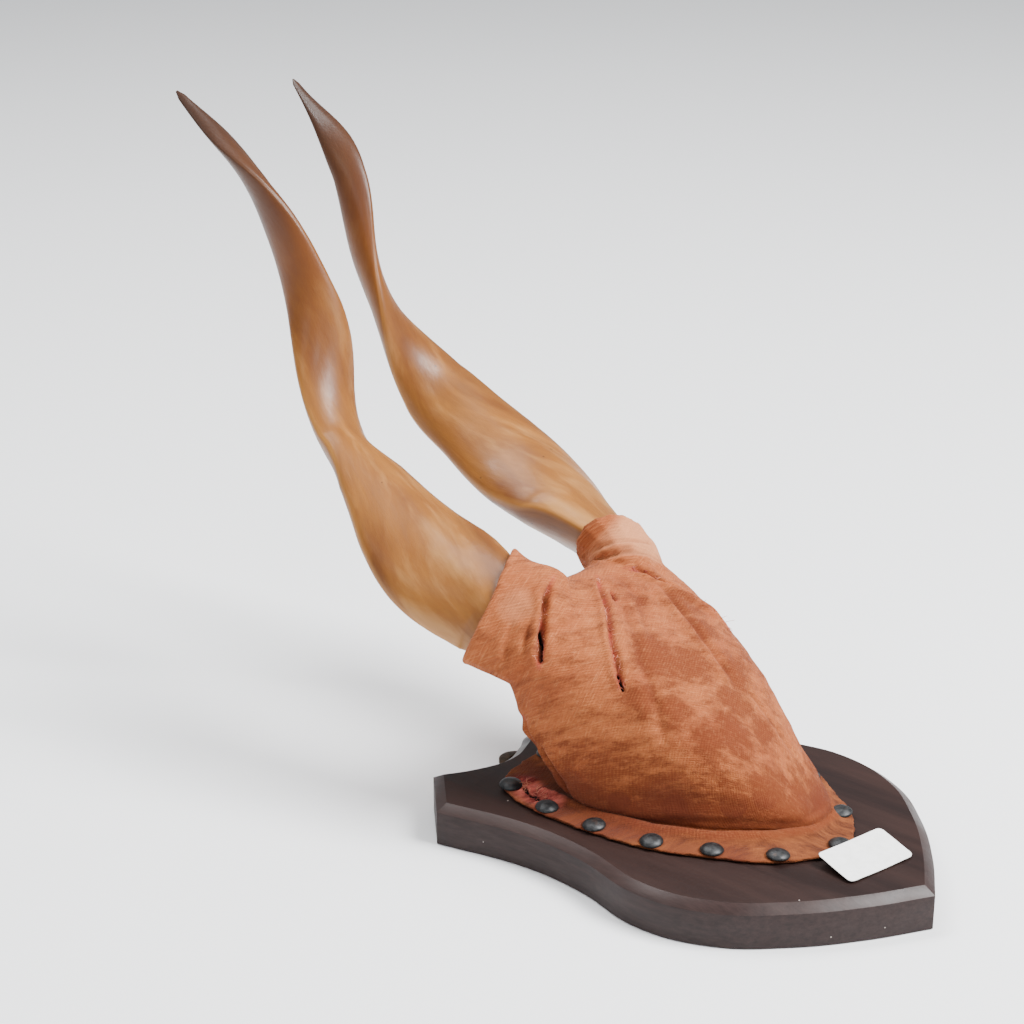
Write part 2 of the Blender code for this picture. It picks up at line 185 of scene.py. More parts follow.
def tidy_normals(piece, merge=0.00002):
    open_edit(piece, "VERT")
    bpy.ops.mesh.select_all(action="SELECT")
    bpy.ops.mesh.remove_doubles(threshold=merge)
    bpy.ops.mesh.normals_make_consistent(inside=False)
    close_edit()


def smooth(piece, degrees=40):
    take(piece)
    bpy.ops.object.shade_smooth_by_angle(angle=math.radians(degrees))


def fit_out(piece, name, slot, material, *nodes):
    """Name a finished piece, give it its material and tie it to the body."""
    settle(piece)
    piece.name = name
    piece.data.name = name
    piece.data.materials.clear()
    piece.data.materials.append(material)
    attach(piece, "root")
    if nodes:
        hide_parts(*nodes)
    return piece


def read_points(piece):
    """Vertex places in millimetres and vertex normals of a mesh."""
    count = len(piece.data.vertices)
    places = np.empty(count * 3)
    piece.data.vertices.foreach_get("co", places)
    normals = np.empty(count * 3, dtype=np.float32)
    piece.data.vertex_normals.foreach_get("vector", normals)
    return places.reshape(-1, 3) / MM, normals.reshape(-1, 3).astype(float)


def write_points(piece, places):
    piece.data.vertices.foreach_set("co", (places * MM).ravel())
    piece.data.update()


def write_mask(piece, name, values):
    """Store one number per vertex for the material."""
    layer = piece.data.attributes.new(name, "FLOAT", "POINT")
    layer.data.foreach_set("value", values.astype(np.float32))


def write_vector(piece, name, values):
    layer = piece.data.attributes.new(name, "FLOAT_VECTOR", "POINT")
    layer.data.foreach_set("vector", values.astype(np.float32).ravel())


def step_between(low, high, value):
    part = np.clip((value - low) / (high - low), 0, 1)
    return part * part * (3 - 2 * part)


def rumple(points, size, seed):
    """Smooth pseudo-random waves in space, from about -1 to 1."""
    chance = np.random.default_rng(seed)
    total = np.zeros(len(points))
    for _ in range(7):
        way = chance.normal(size=3)
        way /= np.linalg.norm(way)
        pace = 2 * math.pi / (size * chance.uniform(0.7, 1.5))
        total += np.sin(points @ way * pace + chance.uniform(0, 6.28))
    return total / 3.5


def nearest_on(points, path):
    """Distance to a path, share of its length there, nearest point and direction."""
    path = np.array(path, float)
    legs = np.diff(path, axis=0)
    lengths = np.linalg.norm(legs, axis=1)
    before = np.concatenate([[0], np.cumsum(lengths)])
    best = np.full(len(points), 1e9)
    share = np.zeros(len(points))
    foot = np.zeros_like(points)
    way = np.zeros_like(points)
    for start, leg, length, passed in zip(path, legs, lengths, before):
        along = np.clip(((points - start) @ leg) / length ** 2, 0, 1)
        near = start + along[:, None] * leg
        gap = np.linalg.norm(points - near, axis=1)
        closer = gap < best
        best = np.where(closer, gap, best)
        share = np.where(closer, (passed + along * length) / before[-1], share)
        foot = np.where(closer[:, None], near, foot)
        way = np.where(closer[:, None], leg / length, way)
    return best, share, foot, way


# Shader helpers


def new_material(name):
    material = bpy.data.materials.new(name)
    material.use_nodes = True
    tree = material.node_tree
    tree.nodes.clear()
    output = tree.nodes.new("ShaderNodeOutputMaterial")
    shader = tree.nodes.new("ShaderNodeBsdfPrincipled")
    tree.links.new(shader.outputs["BSDF"], output.inputs["Surface"])
    return material, tree, shader


def new_group(name, inputs, outputs):
    """An empty node group with named sockets: (name, kind, value)."""
    tree = bpy.data.node_groups.new(name, "ShaderNodeTree")
    for label, kind, value in inputs:
        socket = tree.interface.new_socket(name=label, in_out="INPUT", socket_type=kind)
        if value is not None:
            socket.default_value = value
    for label, kind in outputs:
        tree.interface.new_socket(name=label, in_out="OUTPUT", socket_type=kind)
    return tree, tree.nodes.new("NodeGroupInput"), tree.nodes.new("NodeGroupOutput")


def put(tree, kind, links=None, **values):
    """Add a node, set its properties, and link or set its inputs."""
    node = tree.nodes.new(kind)
    for key, value in values.items():
        setattr(node, key, value)
    for key, value in (links or {}).items():
        socket = node.inputs[key]
        if isinstance(value, bpy.types.NodeSocket):
            tree.links.new(value, socket)
        else:
            socket.default_value = value
    return node


def sums(tree, operation, first, second, clamp=False):
    node = put(tree, "ShaderNodeMath", {0: first, 1: second}, operation=operation, use_clamp=clamp)
    return node.outputs[0]


def noise(tree, place, scale, detail):
    return put(tree, "ShaderNodeTexNoise", {"Vector": place, "Scale": scale, "Detail": detail}).outputs["Fac"]


def ramp(tree, value, low, high, bottom=0.0, top=1.0):
    node = put(tree, "ShaderNodeMapRange",
               {"Value": value, "From Min": low, "From Max": high, "To Min": bottom, "To Max": top})
    return node.outputs["Result"]


def blend(tree, share, first, second):
    node = put(tree, "ShaderNodeMix", data_type="RGBA")
    for index, value in ((0, share), (6, first), (7, second)):
        socket = node.inputs[index]
        if isinstance(value, bpy.types.NodeSocket):
            tree.links.new(value, socket)
        elif index:
            socket.default_value = (*value, 1)
        else:
            socket.default_value = value
    return node.outputs[2]


def use_group(tree, group, links):
    node = put(tree, "ShaderNodeGroup", node_tree=group)
    for key, value in links.items():
        if isinstance(value, bpy.types.NodeSocket):
            tree.links.new(value, node.inputs[key])
        else:
            node.inputs[key].default_value = value
    return node.outputs


def read_mask(tree, name):
    return put(tree, "ShaderNodeAttribute", attribute_name=name)


def srgb(red, green, blue):
    """A colour as read from a picture, in the shader's own scale."""
    out = []
    for part in (red, green, blue):
        part = part / 255
        out.append(part / 12.92 if part <= 0.04045 else ((part + 0.055) / 1.055) ** 2.4)
    return tuple(out)


def make_streaks():
    """Long fibres and clouds along the third axis of the vector."""
    tree, source, result = new_group(
        "streaks", [("Vector", "NodeSocketVector", None), ("Scale", "NodeSocketFloat", 1.0),
                    ("Stretch", "NodeSocketFloat", 0.1)],
        [("Clouds", "NodeSocketFloat"), ("Fibres", "NodeSocketFloat"), ("Height", "NodeSocketFloat")])
    squash = put(tree, "ShaderNodeCombineXYZ", {"X": 1.0, "Y": 1.0, "Z": source.outputs["Stretch"]})
    drawn = put(tree, "ShaderNodeVectorMath", {0: source.outputs["Vector"], 1: squash.outputs[0]},
                operation="MULTIPLY").outputs[0]
    clouds = put(tree, "ShaderNodeTexNoise", {"Vector": drawn, "Scale": source.outputs["Scale"],
                                              "Detail": 5.0, "Roughness": 0.55, "Distortion": 0.6})
    finer = sums(tree, "MULTIPLY", source.outputs["Scale"], 7.0)
    fibres = put(tree, "ShaderNodeTexNoise", {"Vector": drawn, "Scale": finer, "Detail": 6.0,
                                              "Roughness": 0.7})
    height = sums(tree, "MULTIPLY", sums(tree, "ADD", clouds.outputs["Fac"], fibres.outputs["Fac"]), 0.5)
    tree.links.new(clouds.outputs["Fac"], result.inputs["Clouds"])
    tree.links.new(fibres.outputs["Fac"], result.inputs["Fibres"])
    tree.links.new(height, result.inputs["Height"])
    return tree


def make_specks():
    """Small scattered marks: pits, dust or chips."""
    tree, source, result = new_group(
        "specks", [("Vector", "NodeSocketVector", None), ("Scale", "NodeSocketFloat", 200.0),
                   ("Size", "NodeSocketFloat", 0.12), ("Share", "NodeSocketFloat", 0.3)],
        [("Marks", "NodeSocketFloat")])
    cells = put(tree, "ShaderNodeTexVoronoi", {"Vector": source.outputs["Vector"],
                                               "Scale": source.outputs["Scale"]})
    dots = sums(tree, "LESS_THAN", cells.outputs["Distance"], source.outputs["Size"])
    lone = put(tree, "ShaderNodeSeparateColor", {"Color": cells.outputs["Color"]})
    some = sums(tree, "LESS_THAN", lone.outputs[0], source.outputs["Share"])
    tree.links.new(sums(tree, "MULTIPLY", dots, some), result.inputs["Marks"])
    return tree


def make_weave():
    """Plain linen weave with uneven threads, on a map in millimetres."""
    tree, source, result = new_group(
        "weave", [("Vector", "NodeSocketVector", None), ("Pitch", "NodeSocketFloat", 1.2)],
        [("Threads", "NodeSocketFloat"), ("Weft", "NodeSocketFloat"), ("Warp", "NodeSocketFloat"),
         ("Height", "NodeSocketFloat")])
    wander = put(tree, "ShaderNodeTexNoise", {"Vector": source.outputs["Vector"], "Scale": 0.16,
                                              "Detail": 3.0})
    shift = put(tree, "ShaderNodeVectorMath", {0: wander.outputs["Color"], 1: (1.6, 1.6, 0)},
                operation="MULTIPLY").outputs[0]
    moved = put(tree, "ShaderNodeVectorMath", {0: source.outputs["Vector"], 1: shift},
                operation="ADD").outputs[0]
    axes = put(tree, "ShaderNodeSeparateXYZ", {"Vector": moved})
    pace = sums(tree, "DIVIDE", 2 * math.pi, source.outputs["Pitch"])
    waves = []
    for axis in ("X", "Y"):
        wave = sums(tree, "SINE", sums(tree, "MULTIPLY", axes.outputs[axis], pace), 0.0)
        waves.append(wave)
    over = sums(tree, "MULTIPLY", waves[0], waves[1])
    grid = sums(tree, "MAXIMUM", waves[0], waves[1])
    threads = sums(tree, "ADD", sums(tree, "MULTIPLY", grid, 0.6), sums(tree, "MULTIPLY", over, 0.4))
    slubs = []
    for stretch in ((0.15, 1.5, 1), (1.5, 0.15, 1)):
        drawn = put(tree, "ShaderNodeVectorMath", {0: source.outputs["Vector"], 1: stretch},
                    operation="MULTIPLY").outputs[0]
        slubs.append(put(tree, "ShaderNodeTexNoise", {"Vector": drawn, "Scale": 1.0, "Detail": 4.0,
                                                      "Roughness": 0.65}).outputs["Fac"])
    both = sums(tree, "MULTIPLY", sums(tree, "ADD", slubs[0], slubs[1]), 0.5)
    height = sums(tree, "ADD", sums(tree, "MULTIPLY", threads, 0.35), both)
    tree.links.new(ramp(tree, threads, -0.6, 1.0), result.inputs["Threads"])
    tree.links.new(slubs[0], result.inputs["Weft"])
    tree.links.new(slubs[1], result.inputs["Warp"])
    tree.links.new(height, result.inputs["Height"])
    return tree


STREAKS = make_streaks()
SPECKS = make_specks()
WEAVE = make_weave()


def object_place(tree):
    return put(tree, "ShaderNodeTexCoord").outputs["Object"]


def bump(tree, shader, height, strength, distance):
    node = put(tree, "ShaderNodeBump", {"Height": height, "Strength": strength, "Distance": distance})
    tree.links.new(node.outputs["Normal"], shader.inputs["Normal"])


def horn_finish():
    """Polished honey-brown horn with darker fibres, cloudy light patches, a painted highlight along the keels
    and a dark tip.
    """
    material, tree, shader = new_material("polished_horn")
    grain = read_mask(tree, "grain").outputs["Vector"]
    tip = read_mask(tree, "tip").outputs["Fac"]
    keel = read_mask(tree, "keel").outputs["Fac"]
    place = object_place(tree)
    streaks = use_group(tree, STREAKS, {"Vector": grain, "Scale": 62.0, "Stretch": 0.28})
    broad = use_group(tree, STREAKS, {"Vector": grain, "Scale": 26.0, "Stretch": 0.35})
    pits = use_group(tree, SPECKS, {"Vector": place, "Scale": 170.0, "Size": 0.13, "Share": 0.05})
    base = blend(tree, ramp(tree, broad["Clouds"], 0.36, 0.64), srgb(98, 56, 19), srgb(150, 97, 38))
    base = blend(tree, ramp(tree, streaks["Clouds"], 0.42, 0.68, 0.0, 0.4), base, srgb(112, 60, 18))
    base = blend(tree, ramp(tree, streaks["Fibres"], 0.5, 0.75, 0.0, 0.25), base, srgb(92, 50, 20))
    milky = ramp(tree, sums(tree, "MULTIPLY", broad["Clouds"], streaks["Clouds"]), 0.27, 0.38, 0.0, 0.4)
    base = blend(tree, milky, base, srgb(180, 134, 78))
    # Lighter colour along both keels is a painted highlight.
    base = blend(tree, ramp(tree, keel, 0.55, 1.0, 0.0, 0.4), base, srgb(186, 130, 66))
    base = blend(tree, ramp(tree, tip, 0.0, 0.5, 0.0, 0.72), base, srgb(88, 44, 18))
    base = blend(tree, ramp(tree, tip, 0.55, 1.0, 0.0, 0.95), base, srgb(46, 26, 15))
    base = blend(tree, sums(tree, "MULTIPLY", pits["Marks"], 0.6), base, srgb(40, 22, 12))
    tree.links.new(base, shader.inputs["Base Color"])
    rough = ramp(tree, streaks["Fibres"], 0.3, 0.8, 0.34, 0.48)
    tree.links.new(rough, shader.inputs["Roughness"])
    shader.inputs["Specular IOR Level"].default_value = 0.3
    shader.inputs["Coat Weight"].default_value = 0.04
    shader.inputs["Coat Roughness"].default_value = 0.12
    shader.inputs["Subsurface Weight"].default_value = 0.08
    shader.inputs["Subsurface Radius"].default_value = (0.006, 0.003, 0.0015)
    scratched = sums(tree, "SUBTRACT", streaks["Height"], sums(tree, "MULTIPLY", pits["Marks"], 0.7))
    bump(tree, shader, scratched, 0.35, 0.0008)
    return material


def velvet_finish():
    """Worn terracotta velvet: bare weave, rust-brown pile left in patches, tan flange, painted shade in the
    creases, along the foot and on the lower left flank, and slits painted near-black as shade.
    """
    material, tree, shader = new_material("worn_velvet")
    cloth = read_mask(tree, "cloth_map").outputs["Vector"]
    pile = read_mask(tree, "pile").outputs["Fac"]
    painted_shade = read_mask(tree, "painted_shade").outputs["Fac"]
    painted_slit_shade = read_mask(tree, "painted_slit_shade").outputs["Fac"]
    low = read_mask(tree, "low").outputs["Fac"]
    torn = read_mask(tree, "torn").outputs["Fac"]
    weave = use_group(tree, WEAVE, {"Vector": cloth, "Pitch": 1.25})
    frayed = read_mask(tree, "frayed").outputs["Fac"]
    drawn = put(tree, "ShaderNodeVectorMath", {0: cloth, 1: (1, 0.5, 1)}, operation="MULTIPLY").outputs[0]
    rubbed = put(tree, "ShaderNodeTexNoise", {"Vector": drawn, "Scale": 0.15, "Detail": 9.0,
                                              "Roughness": 0.74, "Distortion": 0.25}).outputs["Fac"]
    blotch = noise(tree, cloth, 0.035, 4.0)
    colour = blend(tree, ramp(tree, blotch, 0.35, 0.65), srgb(148, 76, 41), srgb(168, 95, 51))
    colour = blend(tree, ramp(tree, weave["Threads"], 0.0, 1.0, 0.3, 0.0), colour, srgb(112, 56, 30))
    colour = blend(tree, ramp(tree, weave["Weft"], 0.36, 0.56, 0.4, 0.0), colour, srgb(116, 60, 32))
    colour = blend(tree, ramp(tree, weave["Warp"], 0.36, 0.56, 0.4, 0.0), colour, srgb(116, 60, 32))
    light = sums(tree, "MAXIMUM", ramp(tree, weave["Weft"], 0.57, 0.66),
                 ramp(tree, weave["Warp"], 0.57, 0.66))
    colour = blend(tree, sums(tree, "MULTIPLY", light, 0.32), colour, srgb(194, 128, 82))
    nap = sums(tree, "ADD", sums(tree, "MULTIPLY", pile, 0.3), rubbed)
    nap = sums(tree, "ADD", nap, sums(tree, "MULTIPLY", weave["Weft"], 0.3))
    nap = sums(tree, "ADD", nap, sums(tree, "MULTIPLY", weave["Warp"], 0.2))
    patch = sums(tree, "MULTIPLY", ramp(tree, nap, 0.77, 0.93),
                 ramp(tree, weave["Threads"], 0.0, 1.0, 1.0, 0.62), True)
    colour = blend(tree, patch, colour, srgb(92, 38, 14))
    tan = blend(tree, ramp(tree, rubbed, 0.4, 0.62), srgb(84, 40, 19), srgb(120, 66, 34))
    worn = put(tree, "ShaderNodeTexNoise", {"Vector": cloth, "Scale": 0.5, "Detail": 8.0,
                                            "Roughness": 0.8}).outputs["Fac"]
    colour = blend(tree, ramp(tree, worn, 0.5, 0.72, 0.0, 0.3), colour, srgb(112, 52, 26))
    colour = blend(tree, ramp(tree, worn, 0.48, 0.3, 0.0, 0.3), colour, srgb(196, 126, 82))
    # Painted light: paler cloth round the collars, where the pile mask is below zero.
    colour = blend(tree, ramp(tree, pile, -0.9, -0.4, 0.5, 0.0), colour, srgb(208, 146, 104))
    colour = blend(tree, low, colour, tan)
    # Painted shade in the creases, along the foot, on the lower left flank and on the thick-pile lower front.
    colour = blend(tree, ramp(tree, painted_shade, 0.2, 1.0, 0.0, 0.72), colour, srgb(84, 34, 19))
    colour = blend(tree, sums(tree, "MULTIPLY", frayed, 0.75), colour, srgb(150, 58, 48))
    lining = blend(tree, ramp(tree, rubbed, 0.42, 0.58), srgb(110, 34, 34), srgb(190, 98, 84))
    colour = blend(tree, torn, colour, lining)
    # Painted shade: near-black inside the slits.
    colour = blend(tree, ramp(tree, painted_slit_shade, 0.35, 0.8), colour, srgb(22, 10, 10))
    tree.links.new(colour, shader.inputs["Base Color"])
    shader.inputs["Roughness"].default_value = 0.92
    shader.inputs["Sheen Weight"].default_value = 0.04
    shader.inputs["Sheen Roughness"].default_value = 0.45
    shader.inputs["Sheen Tint"].default_value = (1.0, 0.86, 0.78, 1)
    shader.inputs["Specular IOR Level"].default_value = 0.2
    soft = sums(tree, "ADD", weave["Height"], sums(tree, "MULTIPLY", patch, 0.8))
    bump(tree, shader, soft, 0.55, 0.0011)
    return material


def wood_finish():
    """Dark stained hardwood with a darker top face as painted shade, a worn, shinier chamfer painted lighter
    as wear and painted highlight, fine grain, dust and small chips.
    """
    material, tree, shader = new_material("dark_wood")
    place = object_place(tree)
    turned = put(tree, "ShaderNodeMapping", {"Vector": place, "Rotation": (math.radians(90), 0, 0)})
    grain = use_group(tree, STREAKS, {"Vector": turned.outputs[0], "Scale": 55.0, "Stretch": 0.12})
    dust = use_group(tree, SPECKS, {"Vector": place, "Scale": 130.0, "Size": 0.055, "Share": 0.16})
    chips = use_group(tree, SPECKS, {"Vector": place, "Scale": 60.0, "Size": 0.11, "Share": 0.12})
    normal = put(tree, "ShaderNodeNewGeometry").outputs["Normal"]
    facing = put(tree, "ShaderNodeSeparateXYZ", {"Vector": normal})
    up = facing.outputs["Z"]
    top = ramp(tree, up, 0.93, 0.99)
    rounded = sums(tree, "MULTIPLY", ramp(tree, up, 0.2, 0.55), ramp(tree, up, 0.985, 0.93), True)
    colour = blend(tree, ramp(tree, grain["Fibres"], 0.35, 0.7), srgb(33, 22, 21), srgb(49, 35, 33))
    # The top face is painted darker and redder than the sides: painted shade.
    colour = blend(tree, sums(tree, "MULTIPLY", top, 0.9), colour,
                   blend(tree, ramp(tree, grain["Clouds"], 0.35, 0.7), srgb(26, 14, 12), srgb(41, 24, 20)))
    # Lighter chamfer: wear, and a painted highlight along the edge.
    worn = sums(tree, "MULTIPLY", rounded, ramp(tree, grain["Clouds"], 0.42, 0.66, 0.1, 0.9))
    colour = blend(tree, sums(tree, "MULTIPLY", worn, 0.4), colour, srgb(62, 45, 41))
    colour = blend(tree, sums(tree, "MULTIPLY", sums(tree, "MULTIPLY", chips["Marks"], rounded), 0.8),
                   colour, srgb(160, 118, 92))
    colour = blend(tree, sums(tree, "MULTIPLY", dust["Marks"], 0.8), colour, srgb(170, 160, 152))
    tree.links.new(colour, shader.inputs["Base Color"])
    rough = sums(tree, "SUBTRACT", ramp(tree, grain["Clouds"], 0.3, 0.7, 0.42, 0.58),
                 sums(tree, "MULTIPLY", rounded, 0.12))
    tree.links.new(rough, shader.inputs["Roughness"])
    shader.inputs["Specular IOR Level"].default_value = 0.22
    bump(tree, shader, grain["Height"], 0.3, 0.0006)
    return material


def iron_finish():
    """Blackened iron, mottled, with faint rust and fine pits."""
    material, tree, shader = new_material("blackened_iron")
    place = object_place(tree)
    mottle = noise(tree, place, 420.0, 6.0)
    rust = noise(tree, place, 160.0, 4.0)
    pits = use_group(tree, SPECKS, {"Vector": place, "Scale": 700.0, "Size": 0.2, "Share": 0.25})
    colour = blend(tree, ramp(tree, mottle, 0.35, 0.65), srgb(30, 31, 33), srgb(50, 51, 52))
    colour = blend(tree, ramp(tree, rust, 0.6, 0.75, 0.0, 0.4), colour, srgb(92, 66, 50))
    tree.links.new(colour, shader.inputs["Base Color"])
    tree.links.new(ramp(tree, mottle, 0.3, 0.7, 0.38, 0.55), shader.inputs["Roughness"])
    shader.inputs["Metallic"].default_value = 0.55
    dents = sums(tree, "SUBTRACT", mottle, sums(tree, "MULTIPLY", pits["Marks"], 0.4))
    bump(tree, shader, dents, 0.25, 0.0003)
    return material


def brass_finish():
    """Old dark brass with a brown skin and brighter rubbed spots."""
    material, tree, shader = new_material("old_brass")
    place = object_place(tree)
    skin = put(tree, "ShaderNodeTexNoise", {"Vector": place, "Scale": 190.0, "Detail": 7.0,
                                            "Roughness": 0.65}).outputs["Fac"]
    pits = use_group(tree, SPECKS, {"Vector": place, "Scale": 500.0, "Size": 0.18, "Share": 0.2})
    colour = blend(tree, ramp(tree, skin, 0.35, 0.68), srgb(42, 32, 26), srgb(80, 60, 40))
    colour = blend(tree, sums(tree, "MULTIPLY", pits["Marks"], 0.6), colour, srgb(40, 32, 28))
    tree.links.new(colour, shader.inputs["Base Color"])
    tree.links.new(ramp(tree, skin, 0.3, 0.7, 0.55, 0.36), shader.inputs["Roughness"])
    shader.inputs["Metallic"].default_value = 0.8
    bump(tree, shader, skin, 0.25, 0.0003)
    return material


def paper_finish():
    """Plain white paper tag, faintly mottled and rubbed at its edges."""
    material, tree, shader = new_material("paper")
    place = object_place(tree)
    pulp = use_group(tree, STREAKS, {"Vector": place, "Scale": 240.0, "Stretch": 1.0})
    rim = read_mask(tree, "rim").outputs["Fac"]
    colour = blend(tree, ramp(tree, pulp["Clouds"], 0.35, 0.65), srgb(236, 236, 234), srgb(246, 246, 245))
    colour = blend(tree, ramp(tree, rim, 0.6, 1.0, 0.0, 0.3), colour, srgb(205, 200, 190))
    tree.links.new(colour, shader.inputs["Base Color"])
    tree.links.new(ramp(tree, pulp["Fibres"], 0.3, 0.7, 0.6, 0.75), shader.inputs["Roughness"])
    bump(tree, shader, pulp["Height"], 0.15, 0.0002)
    return material


# Pieces


def signed_power(value, power):
    return math.copysign(abs(value) ** power, value)


def model_horn(name, stations, side, material, node):
    """A flattened horn drawn through its stations, with a keel on both edges that twists to the tip."""
    around = 48
    bare()
    section = bpy.data.curves.new(name + "_section", "CURVE")
    section.dimensions = "2D"
    ring = section.splines.new("POLY")
    ring.points.add(around - 1)
    ring.use_cyclic_u = True
    for index, knot in enumerate(ring.points):
        angle = 2 * math.pi * index / around
        height = HORN_FLATNESS * signed_power(math.sin(angle), HORN_SECTION_POWER)
        knot.co = (math.cos(angle) * MM, height * MM, 0, 1)
    former = bpy.data.objects.new(name + "_section", section)
    bpy.context.scene.collection.objects.link(former)
    bpy.ops.curve.primitive_bezier_curve_add()
    horn = bpy.context.object
    spline = horn.data.splines[0]
    spline.bezier_points.add(len(stations) - 2)
    spline.radius_interpolation = "CARDINAL"
    spline.tilt_interpolation = "CARDINAL"
    for knot, (place, radius, turn) in zip(spline.bezier_points, stations):
        knot.co = Vector(place) * MM
        knot.radius = radius
        knot.tilt = math.radians(side * turn)
        knot.handle_left_type = "AUTO"
        knot.handle_right_type = "AUTO"
    horn.location = (0, 0, 0)
    horn.data.dimensions = "3D"
    horn.data.resolution_u = 18
    horn.data.bevel_mode = "OBJECT"
    horn.data.bevel_object = former
    horn.data.use_fill_caps = False
    take(horn)
    bpy.ops.object.convert(target="MESH")
    horn = bpy.context.object
    bpy.data.objects.remove(former, do_unlink=True)
    places, normals = read_points(horn)
    rings = places.reshape(-1, around, 3)
    centres = rings.mean(axis=1)
    run = np.concatenate([[0], np.cumsum(np.linalg.norm(np.diff(centres, axis=0), axis=1))])
    angles = 2 * math.pi * np.arange(around) / around
    widths = np.linalg.norm(rings[:, 0] - centres, axis=1)
    grain = np.empty_like(rings)
    grain[:, :, 0] = np.cos(angles)[None] * widths[:, None]
    grain[:, :, 1] = np.sin(angles)[None] * widths[:, None] * 0.7
    grain[:, :, 2] = run[:, None]
    swell = 1 + 0.2 * np.sin(math.pi * np.clip((run / run[-1] - 0.8) / 0.2, 0, 1))
    swell[-1] = 0.35
    shrink = swell[:, None, None]
    places = (centres[:, None] + (rings - centres[:, None]) * shrink).reshape(-1, 3)
    flat = grain.reshape(-1, 3)
    far = np.repeat(run / run[-1], around)
    # Mask for the painted highlight along both keels.
    keel = np.tile(np.abs(np.cos(angles)) ** 14, len(rings))
    ripple = 0.1 * rumple(flat * [1, 1, 0.2], 26, 3) + 0.05 * rumple(flat * [1, 1, 0.4], 9, 4)
    crest = np.tile(np.abs(np.cos(angles)) ** 160, len(rings)) * step_between(1.0, 0.8, far)
    ripple += 0.35 * crest * step_between(0.1, 0.4, far)
    rounds = 0.05 * np.sin(flat[:, 2] / 2.2 + 2 * rumple(flat, 40, 5)) * step_between(0.4, 0.05, far)
    across = np.tile(np.cos(angles), len(rings))
    valley = np.exp(-((across - 0.15) / 0.2) ** 2) * step_between(0.5, 0.2, far)
    ripple -= 1.3 * valley
    places = places + normals * (ripple + rounds)[:, None] * step_between(1.0, 0.8, far)[:, None]
    write_points(horn, places)
    write_vector(horn, "grain", flat * MM)
    write_mask(horn, "tip", step_between(0.36, 0.98, far))
    write_mask(horn, "keel", keel)
    shape = bmesh.new()
    shape.from_mesh(horn.data)
    bmesh.ops.holes_fill(shape, edges=[edge for edge in shape.edges if edge.is_boundary])
    shape.to_mesh(horn.data)
    shape.free()
    tidy_normals(horn)
    smooth(horn, 60)
    return fit_out(horn, name, "horn", material, node)


def copy_node(node, name):
    """A separate merged copy of a CAD node to shape further."""
    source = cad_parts[node]
    mesh = source.data.copy()
    piece = bpy.data.objects.new(name, mesh)
    bpy.context.scene.collection.objects.link(piece)
    piece.data.materials.clear()
    tidy_normals(piece, 0.00001)
    return piece


